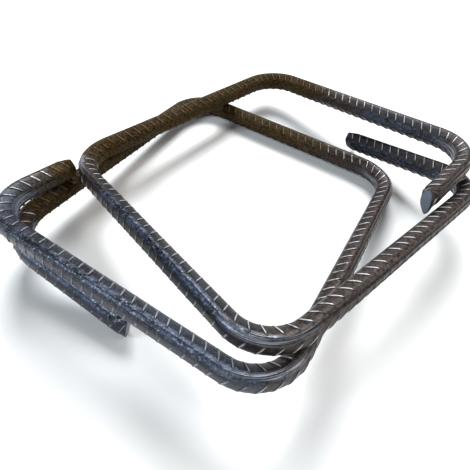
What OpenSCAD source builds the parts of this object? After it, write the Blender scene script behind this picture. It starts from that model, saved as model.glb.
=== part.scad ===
// Two bent rebar stirrups, one lying across the other, as they rest on a level floor.
// Each is one bar bent into a closed rectangle; its two hooked ends pass at the lap corner,
// the low hook under one side and the high hook over the other.

/* [Bar] */
// diameter of the bar
bar_d = 10; // [9:0.5:10.5]
// inside radius of every bend
bend_inner_r = 15; // [13:1:18]
// amount by which the bar draws down in its bends
bend_thinning = 0.1; // [0.1:0.02:0.2]

/* [Stirrup] */
// outside length of the two sides that run along the low hook
side_a = 153; // [148:1:158]
// outside length of the two sides that run along the high hook
side_b = 158; // [153:1:163]

/* [Lower stirrup] */
// low hook, from the lap corner to its cut end
lower_low_hook = 74; // [66:1:82]
// high hook, from the lap corner to its cut end
lower_high_hook = 42; // [38:1:43]
// angle of the bends at the far, right and front corners
lower_bend_angle = 90; // [89:0.2:91]
// angle of the bend into the low hook
lower_low_bend_angle = 89.5; // [87:0.5:92]
// angle of the bend into the high hook
lower_high_bend_angle = 91.5; // [90:0.5:93]
// height the bar gains on its way round, from lap corner to lap corner
lower_lap_rise = 17; // [16:0.5:20]
// height of the front corner over that even climb
lower_front_lift = 7.5; // [5:0.5:9]
// angle at which the low hook hangs down from the lap corner
lower_low_droop_angle = 7.5; // [5:0.5:9]
// angle at which the high hook hangs down from the lap corner
lower_high_droop_angle = 6; // [3:0.5:6.5]
// lap corner, distance to the left of the middle
lower_left = 111.5; // [109:0.5:114]
// lap corner, distance in front of the middle
lower_front = 38.5; // [36:0.5:41]
// direction in which the low hook runs up to the lap corner
lower_turn_angle = 151.5; // [149:0.5:154]

/* [Upper stirrup] */
// low hook, from the lap corner to its cut end
upper_low_hook = 77; // [70:1:82]
// high hook, from the lap corner to its cut end
upper_high_hook = 53; // [46:1:54]
// angle of the bends at the front, left and far corners
upper_bend_angle = 87.8; // [87.2:0.1:88.4]
// angle of the bend into the low hook
upper_low_bend_angle = 94.5; // [93:0.5:96]
// angle of the bend into the high hook
upper_high_bend_angle = 93; // [92:0.5:94]
// height the bar gains on its way round, from lap corner to lap corner
upper_lap_rise = 12.5; // [12:0.5:15]
// depth of the left corner under that even climb
upper_left_drop = 3; // [1:0.5:4]
// angle at which the low hook hangs down from the lap corner
upper_low_droop_angle = 6; // [5:0.5:7]
// angle at which the high hook hangs down from the lap corner
upper_high_droop_angle = 4; // [2:0.5:4.5]
// lap corner, distance to the right of the middle
upper_right = 119.5; // [117:0.5:122]
// lap corner, distance behind the middle
upper_back = 4; // [2:0.5:6]
// direction in which the low hook runs up to the lap corner
upper_turn_angle = -42.5; // [-44:0.5:-41]

/* [Seating] */
// air left between bars that lie on one another
seat_gap = 0.3; // [0.2:0.05:0.5]

/* [Hidden] */
$fn = 44;
steel = [0.33, 0.31, 0.30];
worn_steel = [0.42, 0.39, 0.36];

bend_r = bend_inner_r + bar_d / 2;
bend_d = bar_d - bend_thinning;
bend_root_share = 0.1;
bend_root = atan(bar_d * bend_root_share / bend_r);
run_a = side_a - bar_d;
run_b = side_b - bar_d;
leg_steps = $fn;
bend_steps = $fn / 4;

lower_legs = [lower_low_hook, run_b, run_a, run_b, run_a, lower_high_hook];
lower_bends = [
    lower_low_bend_angle, lower_bend_angle, lower_bend_angle, lower_bend_angle, lower_high_bend_angle];
upper_legs = [upper_low_hook, run_b, run_a, run_b, run_a, upper_high_hook];
upper_bends = [
    upper_low_bend_angle, upper_bend_angle, upper_bend_angle, upper_bend_angle, upper_high_bend_angle];

// Corners of a bar seen from above, from the end of the low hook to the end of the high hook.
function heading(a) = [cos(a), sin(a)];
function turned(turn, bends, i) = i == 0 ? turn : turned(turn, bends, i - 1) - bends[i - 1];
function plan_at(lap, turn, legs, bends, i) =
    i == 0 ? lap - legs[0] * heading(turn) :
    plan_at(lap, turn, legs, bends, i - 1) + legs[i - 1] * heading(turned(turn, bends, i - 1));
function plan(lap, turn, legs, bends) =
    [for (i = [0 : len(legs)]) plan_at(lap, turn, legs, bends, i)];

// Height of each corner over the lap corner's low bar, before the stirrup is set down.
function run(legs, i) = i <= 1 ? 0 : run(legs, i - 1) + legs[i - 1];
function rise_at(legs, climb, low, high, i) =
    i == 0 ? -legs[0] * tan(low) :
    i == len(legs) ? climb - legs[i - 1] * tan(high) :
    climb * run(legs, i) / run(legs, len(legs) - 1);
function rises(legs, climb, low, high, lifts) =
    [for (i = [0 : len(legs)]) rise_at(legs, climb, low, high, i) + lifts[i]];

// Straight stretches and bends of a bar through its corners.
function unit(v) = v / norm(v);
function way(p, i) = unit(p[i + 1] - p[i]);
function bend_angle(p, i) = acos(way(p, i - 1) * way(p, i));
function setback(p, i) = i == 0 || i == len(p) - 1 ? 0 : bend_r * tan(bend_angle(p, i) / 2);
function leg_start(p, i) = p[i] + way(p, i) * setback(p, i);
function leg_end(p, i) = p[i + 1] - way(p, i) * setback(p, i + 1);
function inward(p, i) = unit(way(p, i) - way(p, i - 1) * (way(p, i) * way(p, i - 1)));
function bend_centre(p, i) = p[i] - way(p, i - 1) * setback(p, i) + bend_r * inward(p, i);
function bend_point(p, i, t) =
    bend_centre(p, i) + bend_r * (sin(t) * way(p, i - 1) - cos(t) * inward(p, i));
function centreline(p) = concat(
    [for (i = [0 : len(p) - 2]) for (k = [0 : leg_steps])
        leg_start(p, i) + (leg_end(p, i) - leg_start(p, i)) * k / leg_steps],
    [for (i = [1 : len(p) - 2]) for (k = [1 : bend_steps - 1])
        bend_point(p, i, bend_angle(p, i) * k / bend_steps)]);

// Sloping plane through three places with given heights.
function area(u, v) = u.x * v.y - u.y * v.x;
function slope_x(p, h) =
    ((h[1] - h[0]) * (p[2] - p[0]).y - (h[2] - h[0]) * (p[1] - p[0]).y) / area(p[1] - p[0], p[2] - p[0]);
function slope_y(p, h) =
    ((h[2] - h[0]) * (p[1] - p[0]).x - (h[1] - h[0]) * (p[2] - p[0]).x) / area(p[1] - p[0], p[2] - p[0]);
function on_plane(p, h, q) =
    h[0] + slope_x(p, h) * (q - p[0]).x + slope_y(p, h) * (q - p[0]).y;
function set_down(flat, rise, p, h) =
    [for (i = [0 : len(flat) - 1]) [flat[i].x, flat[i].y, rise[i] + on_plane(p, h, flat[i])]];

// Place of a crossing along leg i of one bar, seen from above, where leg j of another passes it.
function meet_share(p, i, q, j) =
    area(q[j] - p[i], way(q, j)) / area(p[i + 1] - p[i], way(q, j));
function between(p, i, share) = p[i] + (p[i + 1] - p[i]) * share;

// The lower stirrup stands on the end of its low hook and on its far right side.
lower_flat = plan([-lower_left, -lower_front], lower_turn_angle, lower_legs, lower_bends);
lower_lifts = [0, 0, 0, 0, lower_front_lift, 0, 0];
lower_rise = rises(lower_legs, lower_lap_rise, lower_low_droop_angle, lower_high_droop_angle, lower_lifts);
lower_feet = [lower_flat[0], lower_flat[2], lower_flat[3]];
lower_feet_h = [for (i = [0, 2, 3]) bar_d / 2 - lower_rise[i]];
lower_laid = set_down(lower_flat, lower_rise, lower_feet, lower_feet_h);

// The upper stirrup stands on the end of its low hook and across two sides of the lower one,
// in front over its right side and behind over its far side.
contact = bar_d + seat_gap;
upper_flat = plan([upper_right, upper_back], upper_turn_angle, upper_legs, upper_bends);
upper_lifts = [0, 0, 0, -upper_left_drop, 0, 0, 0];
upper_rise = rises(upper_legs, upper_lap_rise, upper_low_droop_angle, upper_high_droop_angle, upper_lifts);
front_share = meet_share(upper_flat, 1, lower_flat, 3);
front_below = between(lower_laid, 3, meet_share(lower_flat, 3, upper_flat, 1));
far_share = meet_share(upper_flat, 3, lower_flat, 2);
far_below = between(lower_laid, 2, meet_share(lower_flat, 2, upper_flat, 3));
upper_feet = [upper_flat[0], between(upper_flat, 1, front_share), between(upper_flat, 3, far_share)];
upper_feet_h = [
    bar_d / 2 - upper_rise[0],
    front_below.z + contact - between(upper_rise, 1, front_share),
    far_below.z + contact - between(upper_rise, 3, far_share)];
upper_leant = set_down(upper_flat, upper_rise, upper_feet, upper_feet_h);

// It is then let down or raised until it just touches the lower bar. A cut end counts as rounded.
function drawn_in(p) = concat(
    [p[0] + way(p, 0) * bar_d / 2],
    [for (i = [1 : len(p) - 2]) p[i]],
    [p[len(p) - 1] - way(p, len(p) - 2) * bar_d / 2]);
function apart(a, b) = norm([a.x - b.x, a.y - b.y]);
function short_of(a, b) = b.z + sqrt(contact * contact - apart(a, b) * apart(a, b)) - a.z;
lower_line = centreline(drawn_in(lower_laid));
upper_line = centreline(drawn_in(upper_leant));
settle = max([for (a = upper_line) for (b = lower_line) if (apart(a, b) < contact) short_of(a, b)]);
floor_lift = max(0, bar_d / 2 - settle - min([for (a = upper_line) a.z]));

// Both are moved so that the middle of the pair stands over the origin.
both = concat(centreline(lower_laid), centreline(upper_leant));
both_x = [for (p = both) p.x];
both_y = [for (p = both) p.y];
middle = [(min(both_x) + max(both_x)) / 2, (min(both_y) + max(both_y)) / 2, -floor_lift];
lower_corners = [for (p = lower_laid) p - middle];
upper_corners = [for (p = upper_leant) p + [0, 0, settle] - middle];

module straight(a, b) {
    ez = unit(b - a);
    ex = unit(cross([0, 0, 1], ez));
    ey = cross(ez, ex);
    multmatrix([[ex.x, ey.x, ez.x, a.x], [ex.y, ey.y, ez.y, a.y], [ex.z, ey.z, ez.z, a.z]])
        cylinder(d = bar_d, h = norm(b - a));
}

module bend(p, i) {
    ex = -inward(p, i);
    ey = way(p, i - 1);
    ez = cross(ex, ey);
    c = bend_centre(p, i);
    multmatrix([[ex.x, ey.x, ez.x, c.x], [ex.y, ey.y, ez.y, c.y], [ex.z, ey.z, ez.z, c.z]])
        rotate([0, 0, -bend_root])
            rotate_extrude(angle = bend_angle(p, i) + 2 * bend_root)
                translate([bend_r, 0])
                    circle(d = bend_d);
}

module bent_bar(p) {
    union() {
        for (i = [0 : len(p) - 2])
            straight(leg_start(p, i), leg_end(p, i));
        for (i = [1 : len(p) - 2])
            bend(p, i);
    }
}

module lower_stirrup() {
    color(steel)
        bent_bar(lower_corners);
}

module upper_stirrup() {
    color(worn_steel)
        bent_bar(upper_corners);
}

lower_stirrup();
upper_stirrup();
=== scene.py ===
import math

import bmesh
import bpy
from mathutils import Matrix, Vector


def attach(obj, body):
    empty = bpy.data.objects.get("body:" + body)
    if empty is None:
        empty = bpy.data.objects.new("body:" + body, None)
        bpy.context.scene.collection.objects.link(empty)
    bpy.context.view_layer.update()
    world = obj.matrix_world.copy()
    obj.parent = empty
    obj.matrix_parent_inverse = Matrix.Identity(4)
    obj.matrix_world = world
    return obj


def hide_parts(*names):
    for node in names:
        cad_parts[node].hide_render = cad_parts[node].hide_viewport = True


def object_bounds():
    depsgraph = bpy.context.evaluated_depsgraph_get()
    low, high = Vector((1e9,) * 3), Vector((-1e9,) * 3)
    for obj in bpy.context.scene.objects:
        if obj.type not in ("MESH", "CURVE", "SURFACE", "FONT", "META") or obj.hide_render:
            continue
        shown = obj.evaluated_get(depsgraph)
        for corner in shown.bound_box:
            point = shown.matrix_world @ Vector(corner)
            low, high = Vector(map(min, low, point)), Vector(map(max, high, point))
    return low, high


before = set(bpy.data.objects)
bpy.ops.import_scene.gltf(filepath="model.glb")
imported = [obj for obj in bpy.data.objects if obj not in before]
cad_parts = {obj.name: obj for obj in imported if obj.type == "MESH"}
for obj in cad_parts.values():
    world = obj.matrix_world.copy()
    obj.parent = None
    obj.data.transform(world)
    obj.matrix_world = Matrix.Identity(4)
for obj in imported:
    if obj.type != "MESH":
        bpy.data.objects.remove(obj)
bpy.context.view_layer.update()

# Bar stock
# Ribbed steel bar, rolled and coiled at the mill, from which both stirrups are bent. The rolls leave
# three rows of thin crescent ribs, one row slanting against the others, and a fine seam between.
core_radius = 0.0049
core_columns = 36
column_degrees = 360 // core_columns
column_reach = 3
rib_rows = 3
row_degrees = 360 // rib_rows
seam_degrees = row_degrees // 2
beside_seam = 54
seam_half = 0.00025
seam_rise = 0.00022
face_flat = 0.095
rib_rise = 0.00045
rib_steps = [0.00205, 0.0004, 0.0003, 0.0004, 0.00205]
rib_pitch = sum(rib_steps)
rib_start = rib_steps[0] + rib_steps[1]
rib_end = rib_start + rib_steps[2]
# from and to, in degrees off the middle of a row, and the share of the rise there
rib_shares = [(-1, 15, 1.0), (15, 25, 0.9), (25, 35, 0.6), (35, 45, 0.2)]
rib_half_degrees = 45
rib_slant = math.tan(math.radians(24))
outer_row_share = 0.4
band_start = 30
band_width = 20
stock_ribs = 138
hair = 0.00005
hair_digits = 5
weld_reach = 0.00002


def edit(piece):
    bpy.ops.object.select_all(action="DESELECT")
    piece.select_set(True)
    bpy.context.view_layer.objects.active = piece
    bpy.ops.object.mode_set(mode="EDIT")
    bpy.ops.mesh.select_mode(type="VERT")


def pick(piece, wanted):
    mesh = bmesh.from_edit_mesh(piece.data)
    for v in mesh.verts:
        v.select = wanted(v.co)
    mesh.select_flush_mode()
    bmesh.update_edit_mesh(piece.data)


def row_angle(co):
    return (math.degrees(math.atan2(co.z, co.y)) + seam_degrees) % row_degrees - seam_degrees


def slant_shift(co):
    angle = row_angle(co)
    back = (seam_degrees - abs(angle)) * rib_half_degrees / (seam_degrees - rib_half_degrees)
    reach = math.radians(min(abs(angle), back))
    way = -1 if co.y > outer_row_share * core_radius else 1
    return way * rib_slant * core_radius * math.copysign(reach, angle)


def on_rib(co, low, high):
    past = (co.x - slant_shift(co)) % rib_pitch
    return low < abs(row_angle(co)) <= high and rib_start - hair < past < rib_end + hair


bpy.ops.object.select_all(action="DESELECT")
bpy.ops.mesh.primitive_circle_add(
    vertices=core_columns, radius=core_radius, rotation=(0, math.pi / 2, 0))
stock = bpy.context.object
stock.name = "bar_stock"
bpy.ops.object.transform_apply(location=False, rotation=True, scale=False)
edit(stock)
pick(stock, lambda co: abs(row_angle(co)) > beside_seam)
bpy.ops.mesh.bevel(offset_type="OFFSET", offset=seam_half, segments=1, affect="VERTICES")
pick(stock, lambda co: abs(row_angle(co)) > beside_seam)
seam_grow = 1 + seam_rise / core_radius
bpy.ops.transform.resize(value=(1, seam_grow, seam_grow), center_override=(0, 0, 0))
for column in range(0, seam_degrees, column_degrees):
    pick(stock, lambda co: abs(abs(row_angle(co)) - column) < column_reach)
    flat = 1 - face_flat * math.cos(math.radians(rib_rows * column))
    bpy.ops.transform.resize(value=(1, flat, flat), center_override=(0, 0, 0))
bpy.ops.mesh.select_all(action="SELECT")
for step in rib_steps:
    bpy.ops.mesh.extrude_region_move(TRANSFORM_OT_translate={"value": (step, 0, 0)})
outline = bmesh.from_edit_mesh(stock.data).verts
columns = {(round(v.co.y, hair_digits), round(v.co.z, hair_digits)) for v in outline}
for y, z in sorted(columns):
    place = Vector((0, y, z))
    pick(stock, lambda co: (co.yz - place.yz).length < hair)
    bpy.ops.transform.translate(value=(slant_shift(place), 0, 0))
for low, high, share in rib_shares:
    pick(stock, lambda co: on_rib(co, low, high))
    rib_grow = 1 + rib_rise * share / core_radius
    bpy.ops.transform.resize(value=(1, rib_grow, rib_grow), center_override=(0, 0, 0))
bpy.ops.mesh.select_all(action="SELECT")
bpy.ops.mesh.normals_make_consistent(inside=False)
bpy.ops.object.mode_set(mode="OBJECT")
marks = stock.data.attributes
for mark in ("worn_and_lit", "around", "band"):
    marks.new(mark, "FLOAT", "POINT")
for v in stock.data.vertices:
    past_band = (abs(row_angle(v.co)) - band_start) / band_width
    marks["band"].data[v.index].value = min(1, max(0, past_band))
    risen = sum(share for low, high, share in rib_shares if on_rib(v.co, low, high))
    marks["worn_and_lit"].data[v.index].value = risen
    marks["around"].data[v.index].value = math.atan2(v.co.z, v.co.y) * core_radius
array = stock.modifiers.new("ribs", "ARRAY")
array.count = stock_ribs
array.use_relative_offset = False
array.use_constant_offset = True
array.constant_offset_displace = (rib_pitch, 0, 0)
array.use_merge_vertices = True
array.merge_threshold = weld_reach
bpy.ops.object.modifier_apply(modifier="ribs")

# Bending
# Each stirrup is cut from the stock with a shear and bent round a pin at five corners, so that its
# two hooks pass at the lap corner. The rollers press the bar narrow, and its seams turn along it.
side_a = 0.143
side_b = 0.148
bend_radius = 0.020
bend_cuts = 18
bend_profile = 0.5
straight_least = 0.008
straight_cuts = 24
corner_digits = 5
corner_reach = 0.0001
pressed = (1, 0.88, 1.16)
shear_reach = 0.005
shear_steps = 4
shear_squash = (1, 0.90, 1.035)
shear_turn = math.radians(-5)
cut_face_corners = 8
cut_rim = 0.0005
cut_bulge = 0.0002
# the bend streaks: burnish on the seam band at each bend, lightened by a painted glint
burnish_glint_reach = 0.018
burnish_glint_gain = 1.5
crease_angle = math.radians(24)


def bent_corners(lap, heading, legs, bends, heights):
    way = Matrix.Rotation(math.radians(heading), 2) @ Vector((1, 0))
    place = Vector(lap) - legs[0] * way
    corners = [Vector((*place, heights[0]))]
    for leg, bend, height in zip(legs, [*bends, 0], heights[1:]):
        place = place + leg * way
        corners.append(Vector((*place, height)))
        way = Matrix.Rotation(math.radians(-bend), 2) @ way
    return [Vector([round(number, corner_digits) for number in corner]) for corner in corners]


def bent_line(name, corners):
    bpy.ops.object.select_all(action="DESELECT")
    bpy.ops.mesh.primitive_plane_add(size=bend_radius)
    line = bpy.context.object
    line.name = name
    edit(line)
    bpy.ops.mesh.select_all(action="SELECT")
    bpy.ops.mesh.merge(type="CENTER")
    bpy.ops.transform.translate(value=corners[0])
    for a, b in zip(corners, corners[1:]):
        bpy.ops.mesh.extrude_region_move(TRANSFORM_OT_translate={"value": b - a})
    middles, reached, taken = [], 0, 0
    for a, b, c in zip(corners, corners[1:], corners[2:]):
        turn = (b - a).angle(c - b)
        setback = bend_radius * math.tan(turn / 2)
        reached += (b - a).length - taken - setback
        middles.append(reached + bend_radius * turn / 2)
        reached += bend_radius * turn
        taken = setback
        pick(line, lambda co: (co - b).length < corner_reach)
        bpy.ops.mesh.bevel(
            offset_type="OFFSET", offset=setback, segments=bend_cuts, profile=bend_profile,
            affect="VERTICES")
    mesh = bmesh.from_edit_mesh(line.data)
    for e in mesh.edges:
        e.select = e.calc_length() > straight_least
    bmesh.update_edit_mesh(line.data)
    bpy.ops.mesh.subdivide(number_cuts=straight_cuts)
    bpy.ops.object.mode_set(mode="OBJECT")
    ends = [[line.data.vertices[i].co for i in e.vertices] for e in line.data.edges]
    length = sum((b - a).length for a, b in ends)
    bpy.ops.object.convert(target="CURVE")
    if (line.data.splines[0].points[0].co.to_3d() - corners[0]).length > corner_reach:
        bpy.ops.object.mode_set(mode="EDIT")
        bpy.ops.curve.select_all(action="SELECT")
        bpy.ops.curve.switch_direction()
        bpy.ops.object.mode_set(mode="OBJECT")
    line.data.dimensions = "3D"
    line.data.twist_mode = "Z_UP"
    return line, length, middles


def turn_along(seam_turns, x):
    for (start, first), (end, last) in zip(seam_turns, seam_turns[1:]):
        if x <= end:
            return first + (last - first) * max(0, (x - start) / (end - start))
    return seam_turns[-1][1]


def bent_bar(name, corners, first_rib, seam_turns, bar_raise, shear_lean, low_end_held):
    line, length, middles = bent_line(name + "_line", corners)
    bpy.ops.object.select_all(action="DESELECT")
    stock.select_set(True)
    bpy.context.view_layer.objects.active = stock
    bpy.ops.object.duplicate()
    bar = bpy.context.object
    bar.name = name
    bar.data.name = name
    for v in bar.data.vertices:
        turn = math.radians(turn_along(seam_turns, v.co.x - first_rib))
        v.co.rotate(Matrix.Rotation(turn, 3, "X"))
    bar.scale = pressed
    bpy.ops.object.transform_apply(location=False, rotation=False, scale=True)
    edit(bar)
    bpy.ops.mesh.select_all(action="SELECT")
    bpy.ops.transform.translate(value=(-first_rib, 0, 0))
    # the shear squashes each end narrower and taller, and its top (1) or its bottom (-1) is held
    for end, way, held in ((0, -1, low_end_held), (length, 1, 1)):
        face = Vector((end, 0, 0))
        outward = way * Vector((1, *shear_lean)).normalized()
        held_side = (0, 0, held * core_radius)
        bpy.ops.mesh.select_all(action="SELECT")
        bpy.ops.mesh.bisect(plane_co=face, plane_no=outward, use_fill=True, clear_outer=True)
        for step in range(1, shear_steps + 1):
            depth = shear_reach * (step / (shear_steps + 1) - 1)
            pick(bar, lambda co: (co - face).dot(outward) > depth)
            bpy.ops.transform.resize(value=shear_squash, center_override=held_side)
            bpy.ops.transform.rotate(value=shear_turn, orient_axis="X", center_override=(0, 0, 0))
    mesh = bmesh.from_edit_mesh(bar.data)
    bpy.ops.mesh.select_mode(type="FACE")
    for f in mesh.faces:
        f.select = len(f.verts) > cut_face_corners
    mesh.select_flush_mode()
    bmesh.update_edit_mesh(bar.data)
    bpy.ops.mesh.inset(thickness=cut_rim, depth=cut_bulge, use_individual=True)
    bpy.ops.mesh.select_mode(type="VERT")
    bpy.ops.object.mode_set(mode="OBJECT")
    marks = bar.data.attributes
    for mark in ("along", "sheared", "burnished_glint"):
        marks.new(mark, "FLOAT", "POINT")
    for v in bar.data.vertices:
        marks["along"].data[v.index].value = v.co.x
        # mask of the bend streaks: rubbed by the pins, and carrying a painted glint
        off_bend = min(abs(v.co.x - middle) for middle in middles)
        on_seam = max(0, 1 + (marks["band"].data[v.index].value - 1) * burnish_glint_gain)
        marks["burnished_glint"].data[v.index].value = on_seam * max(0, 1 - off_bend / burnish_glint_reach)
        marks["sheared"].data[v.index].value = 1.0 if v.select else 0.0
        v.co.z += bar_raise
    bend = bar.modifiers.new("bends", "CURVE")
    bend.object = line
    bend.deform_axis = "POS_X"
    bpy.context.view_layer.objects.active = bar
    bpy.ops.object.modifier_apply(modifier="bends")
    bpy.data.objects.remove(line)
    # rib-crest rubbing is weighted towards upward faces, which adds a painted highlight on top
    for v in bar.data.vertices:
        bar.data.attributes["worn_and_lit"].data[v.index].value *= min(1, max(0, 1 + v.normal.z))
    bpy.ops.object.select_all(action="DESELECT")
    bar.select_set(True)
    bpy.ops.object.shade_smooth_by_angle(angle=crease_angle)
    return bar


# Lower stirrup
# One ribbed steel bar bent into a closed stirrup, lying loose on the floor on its low hook and its
# far right side, with its lap at the left. Blue-grey mill scale, brightened along its smooth bands by
# a painted bluish sheen, still covers its front, and brown rust its far sides and high hook.
lower_lap = (-0.114526, -0.041716)
lower_heading = 151.5
lower_legs = [0.074, side_b, side_a, side_b, side_a, 0.042]
lower_bends = [89.5, 90, 90, 90, 91.5]
# heights of the low hook's end, the five corners and the high hook's end
lower_heights = [0.00500, 0.01683, 0.00500, 0.00500, 0.03298, 0.03383, 0.02480]
lower_first_rib = 0.012
# metres along the bar, and the degrees by which its seams are turned there
lower_seam_turns = [
    (0.0, 8), (0.06, 8), (0.12, -6), (0.43, -8), (0.485, 8), (0.58, 6), (0.62, -4), (0.66, -6)]
lower_raise = 0.0010
lower_shear_lean = (0.25, -0.08)
lower_low_end_held = -1
# metres along the bar, and the amount of rust there
lower_rust = [
    (0.0, 0.10), (0.055, 0.10), (0.085, 0.85), (0.20, 1.00), (0.29, 0.90), (0.335, 0.45),
    (0.37, 0.50), (0.45, 0.50), (0.475, 0.45), (0.495, 0.20), (0.51, 0.00), (0.615, 0.00),
    (0.635, 0.30), (0.655, 0.95)]

black_scale = [(0.006, 0.0055, 0.0065), (0.016, 0.016, 0.020)]
# bluish-grey mill scale, laid brighter on the smooth bands as a painted bluish sheen
blue_scale_and_sheen = [(0.009, 0.012, 0.019), (0.036, 0.049, 0.082)]
scale_fleck = (0.115, 0.13, 0.16)
blue_smoothing = -0.22
thin_film = [(0.005, 0.0035, 0.003), (0.046, 0.031, 0.025)]
old_rust = [(0.004, 0.0022, 0.0004), (0.058, 0.032, 0.003)]
streaks_along = 60
streaks_around = 2200
drawn_grey = (0.060, 0.059, 0.062)
# pale bluish streak colour at the bends: burnish with a painted glint
polished_steel_glint = (0.42, 0.46, 0.53)
# pale rib-crest colours on steel and on rust: rubbed metal with a painted highlight
rubbed_steel_highlight = (0.48, 0.48, 0.49)
rubbed_rust_highlight = (0.30, 0.22, 0.14)
rubbed_metal = 0.5
cut_steel = (0.13, 0.155, 0.19)
rust_ramp_length = 0.68
socket_kinds = {"Vector": "NodeSocketVector", "Color": "NodeSocketColor"}


def shader_group(name, inputs, outputs):
    group = bpy.data.node_groups.new(name, "ShaderNodeTree")
    for way, labels in (("INPUT", inputs), ("OUTPUT", outputs)):
        for label in labels:
            kind = socket_kinds.get(label, "NodeSocketFloat")
            group.interface.new_socket(name=label, in_out=way, socket_type=kind)
    return group, group.nodes.new("NodeGroupInput"), group.nodes.new("NodeGroupOutput")


def noise(tree, vector, scale, detail, rough):
    node = tree.nodes.new("ShaderNodeTexNoise")
    node.inputs["Scale"].default_value = scale
    node.inputs["Detail"].default_value = detail
    node.inputs["Roughness"].default_value = rough
    tree.links.new(vector, node.inputs["Vector"])
    return node.outputs["Fac"]


def spread(tree, value, start=0, end=1, low=0, high=1):
    node = tree.nodes.new("ShaderNodeMapRange")
    node.interpolation_type = "SMOOTHSTEP"
    node.inputs["From Min"].default_value = start
    node.inputs["From Max"].default_value = end
    node.inputs["To Min"].default_value = low
    node.inputs["To Max"].default_value = high
    tree.links.new(value, node.inputs["Value"])
    return node.outputs["Result"]


# the Mix node has its two colours on sockets 6 and 7, and gives the mixed colour on output 2
def mixed(tree, share, one, other):
    node = tree.nodes.new("ShaderNodeMix")
    node.data_type = "RGBA"
    tree.links.new(share, node.inputs[0])
    for socket, colour in ((node.inputs[6], one), (node.inputs[7], other)):
        if isinstance(colour, tuple):
            socket.default_value = (*colour, 1)
        else:
            tree.links.new(colour, socket)
    return node.outputs[2]


def sums(tree, kind, one, other):
    node = tree.nodes.new("ShaderNodeMath")
    node.operation = kind
    for socket, number in ((node.inputs[0], one), (node.inputs[1], other)):
        if isinstance(number, (int, float)):
            socket.default_value = number
        else:
            tree.links.new(number, socket)
    return node.outputs[0]


scale_group, given, result = shader_group(
    "mill_scale", ["Vector", "Band"], ["Color", "Roughness", "Height"])
band = given.outputs["Band"]
patches = noise(scale_group, given.outputs["Vector"], scale=90, detail=5, rough=0.65)
grit = noise(scale_group, given.outputs["Vector"], scale=1100, detail=3, rough=0.6)
cloud = spread(scale_group, patches, start=0.35, end=0.65)
black = mixed(scale_group, cloud, *black_scale)
# the band tone: bluish-grey scale with a painted sheen
blue_tone_and_sheen = mixed(scale_group, cloud, *blue_scale_and_sheen)
tone = mixed(scale_group, band, black, blue_tone_and_sheen)
flecks = sums(scale_group, "MULTIPLY", spread(scale_group, grit, start=0.53, end=0.63), band)
flecked = mixed(scale_group, flecks, tone, scale_fleck)
patchy = spread(scale_group, patches, start=0.3, end=0.7, low=0.38, high=0.54)
smooth = sums(scale_group, "MULTIPLY", band, blue_smoothing)
scale_group.links.new(flecked, result.inputs["Color"])
scale_group.links.new(sums(scale_group, "ADD", patchy, smooth), result.inputs["Roughness"])
scale_group.links.new(sums(scale_group, "ADD", grit, patches), result.inputs["Height"])

rust_group, given, result = shader_group(
    "rust_film", ["Vector", "Amount"], ["Mask", "Old", "Color", "Height"])
bloom = noise(rust_group, given.outputs["Vector"], scale=150, detail=6, rough=0.7)
grain = noise(rust_group, given.outputs["Vector"], scale=800, detail=4, rough=0.65)
rising = sums(rust_group, "ADD", bloom, given.outputs["Amount"])
speckle = spread(rust_group, grain, start=0.36, end=0.64)
film = mixed(rust_group, speckle, *thin_film)
crust = mixed(rust_group, speckle, *old_rust)
old = spread(rust_group, rising, start=1.05, end=1.40)
rust_group.links.new(spread(rust_group, rising, start=0.60, end=0.95), result.inputs["Mask"])
rust_group.links.new(old, result.inputs["Old"])
rust_group.links.new(mixed(rust_group, old, film, crust), result.inputs["Color"])
rust_group.links.new(grain, result.inputs["Height"])

# rib-crest rubbing mask, which also carries a painted highlight on upward faces
wear_highlight_group, given, result = shader_group("rib_wear_and_highlight", ["Vector", "Worn_And_Lit"], ["Mask"])
rubbed = noise(wear_highlight_group, given.outputs["Vector"], scale=260, detail=3, rough=0.6)
uneven = spread(wear_highlight_group, rubbed, start=0.30, end=0.52, low=0.6)
strong = sums(wear_highlight_group, "MULTIPLY", given.outputs["Worn_And_Lit"], uneven)
wear_highlight_group.links.new(spread(wear_highlight_group, strong, start=0.38), result.inputs["Mask"])

streak_group, given, result = shader_group("roll_streaks", ["Along", "Around"], ["Mask"])
lines = streak_group.nodes.new("ShaderNodeCombineXYZ")
along = sums(streak_group, "MULTIPLY", given.outputs["Along"], streaks_along)
around = sums(streak_group, "MULTIPLY", given.outputs["Around"], streaks_around)
streak_group.links.new(along, lines.inputs["X"])
streak_group.links.new(around, lines.inputs["Y"])
drawn_lines = noise(streak_group, lines.outputs["Vector"], scale=1, detail=4, rough=0.6)
streak_group.links.new(drawn_lines, result.inputs["Mask"])


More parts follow.
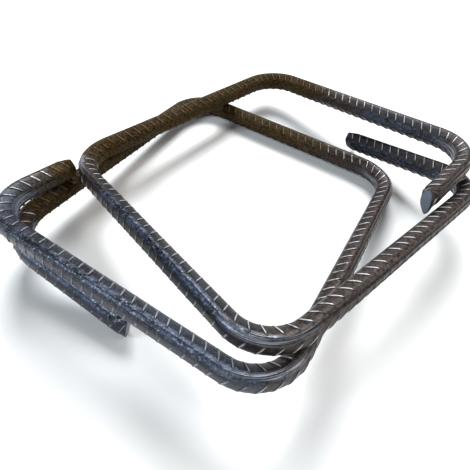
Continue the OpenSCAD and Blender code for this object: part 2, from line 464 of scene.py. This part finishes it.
def rolled_steel(name, rust_along, scale_shine, blue_sheen_share, gloss):
    steel = bpy.data.materials.new(name)
    steel.use_nodes = True
    tree = steel.node_tree
    shader = tree.nodes["Principled BSDF"]
    shader.inputs["Specular IOR Level"].default_value = gloss
    place = tree.nodes.new("ShaderNodeTexCoord").outputs["Object"]
    marks = {}
    for mark in ("along", "around", "band", "worn_and_lit", "sheared", "burnished_glint"):
        node = tree.nodes.new("ShaderNodeAttribute")
        node.attribute_name = mark
        marks[mark] = node.outputs["Fac"]
    ramp = tree.nodes.new("ShaderNodeValToRGB")
    stops = ramp.color_ramp.elements
    first_stops = len(stops)
    tree.links.new(sums(tree, "DIVIDE", marks["along"], rust_ramp_length), ramp.inputs["Fac"])
    for i, (distance, amount) in enumerate(rust_along):
        stop = stops[i] if i < first_stops else stops.new(1.0)
        stop.position = distance / rust_ramp_length
        stop.color = (amount, amount, amount, 1)
    effects = []
    for effect in (scale_group, rust_group, wear_highlight_group, streak_group):
        node = tree.nodes.new("ShaderNodeGroup")
        node.node_tree = effect
        effects.append(node)
        if "Vector" in node.inputs:
            tree.links.new(place, node.inputs["Vector"])
    scale, rust, rib_wear_and_highlight, roll_streaks = effects
    film, old = rust.outputs["Mask"], rust.outputs["Old"]
    streaks = roll_streaks.outputs["Mask"]
    # the smooth bands, and a share of the whole bar, take the bluish tone with its painted sheen
    tree.links.new(sums(tree, "MAXIMUM", marks["band"], blue_sheen_share), scale.inputs["Band"])
    tree.links.new(ramp.outputs["Color"], rust.inputs["Amount"])
    tree.links.new(marks["worn_and_lit"], rib_wear_and_highlight.inputs["Worn_And_Lit"])
    tree.links.new(marks["along"], roll_streaks.inputs["Along"])
    tree.links.new(marks["around"], roll_streaks.inputs["Around"])

    on_scale = spread(tree, film, low=scale_shine)
    on_rust = spread(tree, old, low=1, high=0.45)
    shine = sums(tree, "MULTIPLY", on_scale, on_rust)
    # pale rib crests: rubbed metal with a painted highlight
    wear_highlight = sums(tree, "MULTIPLY", rib_wear_and_highlight.outputs["Mask"], shine)
    # the bend streaks, in pale bluish colour: burnish with a painted glint
    glint_scuffs = spread(tree, streaks, start=0.42, end=0.62, high=0.8)
    scuffed_glint = sums(tree, "MULTIPLY", marks["burnished_glint"], glint_scuffs)
    polish_and_glint = sums(tree, "MULTIPLY", scuffed_glint, spread(tree, old, end=0.5, low=1, high=0))

    dull = mixed(tree, film, scale.outputs["Color"], rust.outputs["Color"])
    drawn = mixed(tree, spread(tree, streaks, start=0.45, end=0.75, high=0.3), dull, drawn_grey)
    rolled = mixed(tree, polish_and_glint, drawn, polished_steel_glint)
    bright = mixed(tree, wear_highlight, rolled, mixed(tree, old, rubbed_steel_highlight, rubbed_rust_highlight))
    cut = mixed(tree, marks["sheared"], bright, cut_steel)
    tree.links.new(cut, shader.inputs["Base Color"])
    rough = sums(tree, "ADD", scale.outputs["Roughness"], spread(tree, old, high=0.35))
    tree.links.new(rough, shader.inputs["Roughness"])
    bare = sums(tree, "MAXIMUM", sums(tree, "MULTIPLY", wear_highlight, rubbed_metal), polish_and_glint)
    metal = sums(tree, "MAXIMUM", spread(tree, film, low=0.35, high=0.15), bare)
    tree.links.new(metal, shader.inputs["Metallic"])
    bump = tree.nodes.new("ShaderNodeBump")
    bump.inputs["Strength"].default_value = 0.35
    bump.inputs["Distance"].default_value = 0.0003
    relief = sums(tree, "ADD", scale.outputs["Height"], rust.outputs["Height"])
    tree.links.new(sums(tree, "ADD", relief, streaks), bump.inputs["Height"])
    tree.links.new(bump.outputs["Normal"], shader.inputs["Normal"])
    return steel


lower_corners = bent_corners(lower_lap, lower_heading, lower_legs, lower_bends, lower_heights)
lower = bent_bar(
    "lower_bar", lower_corners, lower_first_rib, lower_seam_turns, lower_raise, lower_shear_lean,
    lower_low_end_held)
lower_steel = rolled_steel("scaled_steel", lower_rust, scale_shine=0.5, blue_sheen_share=0.45, gloss=0.14)
lower.data.materials.append(lower_steel)
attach(lower, "root")
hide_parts("lower_stirrup")

# Upper stirrup
# A second stirrup of the same steel bar and bending, turned almost half round and lying loose across
# the first. Its sides are browner and its ribs rubbed bright, with a painted highlight that is
# stronger on their upward faces, and its front left side and low hook keep their scale.
upper_lap = (0.116473, 0.000783)
upper_heading = -42.5
upper_legs = [0.077, side_b, side_a, side_b, side_a, 0.053]
upper_bends = [94.5, 87.8, 87.8, 87.8, 93]
upper_heights = [0.00530, 0.02297, 0.04122, 0.02288, 0.01252, 0.03278, 0.03490]
upper_first_rib = 0.015
upper_seam_turns = [
    (0.0, -9), (0.17, -9), (0.212, 3), (0.25, 9), (0.34, 9), (0.40, -6), (0.67, -8)]
upper_raise = 0.0023
upper_shear_lean = (-0.15, 0.12)
upper_low_end_held = 1
upper_rust = [
    (0.0, 0.20), (0.06, 0.20), (0.09, 0.50), (0.18, 0.50), (0.205, 0.45), (0.225, 0.20),
    (0.25, 0.05), (0.31, 0.10), (0.345, 0.65), (0.365, 1.00), (0.47, 1.00), (0.52, 0.95),
    (0.555, 0.45), (0.575, 0.15), (0.60, 0.15), (0.622, 0.40), (0.64, 0.50)]
upper_corners = bent_corners(upper_lap, upper_heading, upper_legs, upper_bends, upper_heights)
upper = bent_bar(
    "upper_bar", upper_corners, upper_first_rib, upper_seam_turns, upper_raise, upper_shear_lean,
    upper_low_end_held)
upper_steel = rolled_steel("rusted_steel", upper_rust, scale_shine=0.65, blue_sheen_share=0.1, gloss=0.13)
upper.data.materials.append(upper_steel)
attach(upper, "root")
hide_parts("upper_stirrup")
bpy.data.objects.remove(stock)

# Studio
# A pale floor just under the pair and a white backdrop. Soft light comes from behind, from both sides
# and low from the front, and the camera stands where the photograph was taken.
floor_gap = 0.0002
floor_size = 6
room_light = 0.14
backdrop_light = 0.95
photo_width = 470
photo_focus = 376.13
photo_centre_across = 256.20
photo_centre_down = 205.02
film_width = 36
camera_place = (0.00193, -0.13716, 0.16468)
camera_near = 0.01
pitch = math.radians(50.169)
roll = math.radians(3.628)

bpy.ops.object.select_all(action="DESELECT")
floor_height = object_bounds()[0][2] - floor_gap
bpy.ops.mesh.primitive_plane_add(size=floor_size, location=(0, 0, floor_height))
floor = bpy.context.object
floor.name = "floor"
floor_paint = bpy.data.materials.new("pale_floor")
floor_paint.use_nodes = True
floor_shader = floor_paint.node_tree.nodes["Principled BSDF"]
floor_shader.inputs["Base Color"].default_value = (0.70, 0.70, 0.70, 1)
floor_shader.inputs["Roughness"].default_value = 0.9
floor.data.materials.append(floor_paint)

world = bpy.data.worlds.new("studio")
world.use_nodes = True
backdrop = world.node_tree.nodes["Background"]
backdrop.inputs["Color"].default_value = (1, 1, 1, 1)
rays = world.node_tree.nodes.new("ShaderNodeLightPath").outputs["Is Camera Ray"]
strength = spread(world.node_tree, rays, low=room_light, high=backdrop_light)
world.node_tree.links.new(strength, backdrop.inputs["Strength"])
bpy.context.scene.world = world


def soft_light(name, place, power, width, colour):
    bpy.ops.object.light_add(type="SUN", location=place)
    lamp = bpy.context.object
    lamp.name = name
    lamp.data.energy = power
    lamp.data.angle = math.radians(width)
    lamp.data.color = colour
    lamp.rotation_euler = Vector(place).to_track_quat("Z", "Y").to_euler()


soft_light("back_light", (0.00, 0.80, 0.80), power=5.5, width=28, colour=(0.95, 0.98, 1.0))
soft_light("right_light", (0.75, 0.10, 0.70), power=1.8, width=30, colour=(1.0, 0.96, 0.90))
soft_light("left_light", (-0.70, -0.25, 0.70), power=1.7, width=22, colour=(0.86, 0.94, 1.0))
soft_light("front_light", (-0.42, -0.86, 0.26), power=0.7, width=14, colour=(0.84, 0.92, 1.0))
bpy.context.scene.view_settings.view_transform = "Standard"

ahead = Vector((0, math.cos(pitch), -math.sin(pitch)))
above = Vector((0, math.sin(pitch), math.cos(pitch)))
right = Vector((1, 0, 0))
image_right = math.cos(roll) * right + math.sin(roll) * above
image_up = math.cos(roll) * above - math.sin(roll) * right
turn = Matrix((image_right, image_up, -ahead)).transposed().to_4x4()
camera_data = bpy.data.cameras.new("camera")
camera_data.sensor_width = film_width
camera_data.lens = photo_focus / photo_width * film_width
camera_data.shift_x = (photo_width / 2 - photo_centre_across) / photo_width
camera_data.shift_y = (photo_centre_down - photo_width / 2) / photo_width
camera_data.clip_start = camera_near
camera = bpy.data.objects.new("camera", camera_data)
bpy.context.scene.collection.objects.link(camera)
camera.matrix_world = Matrix.Translation(camera_place) @ turn
bpy.context.scene.camera = camera
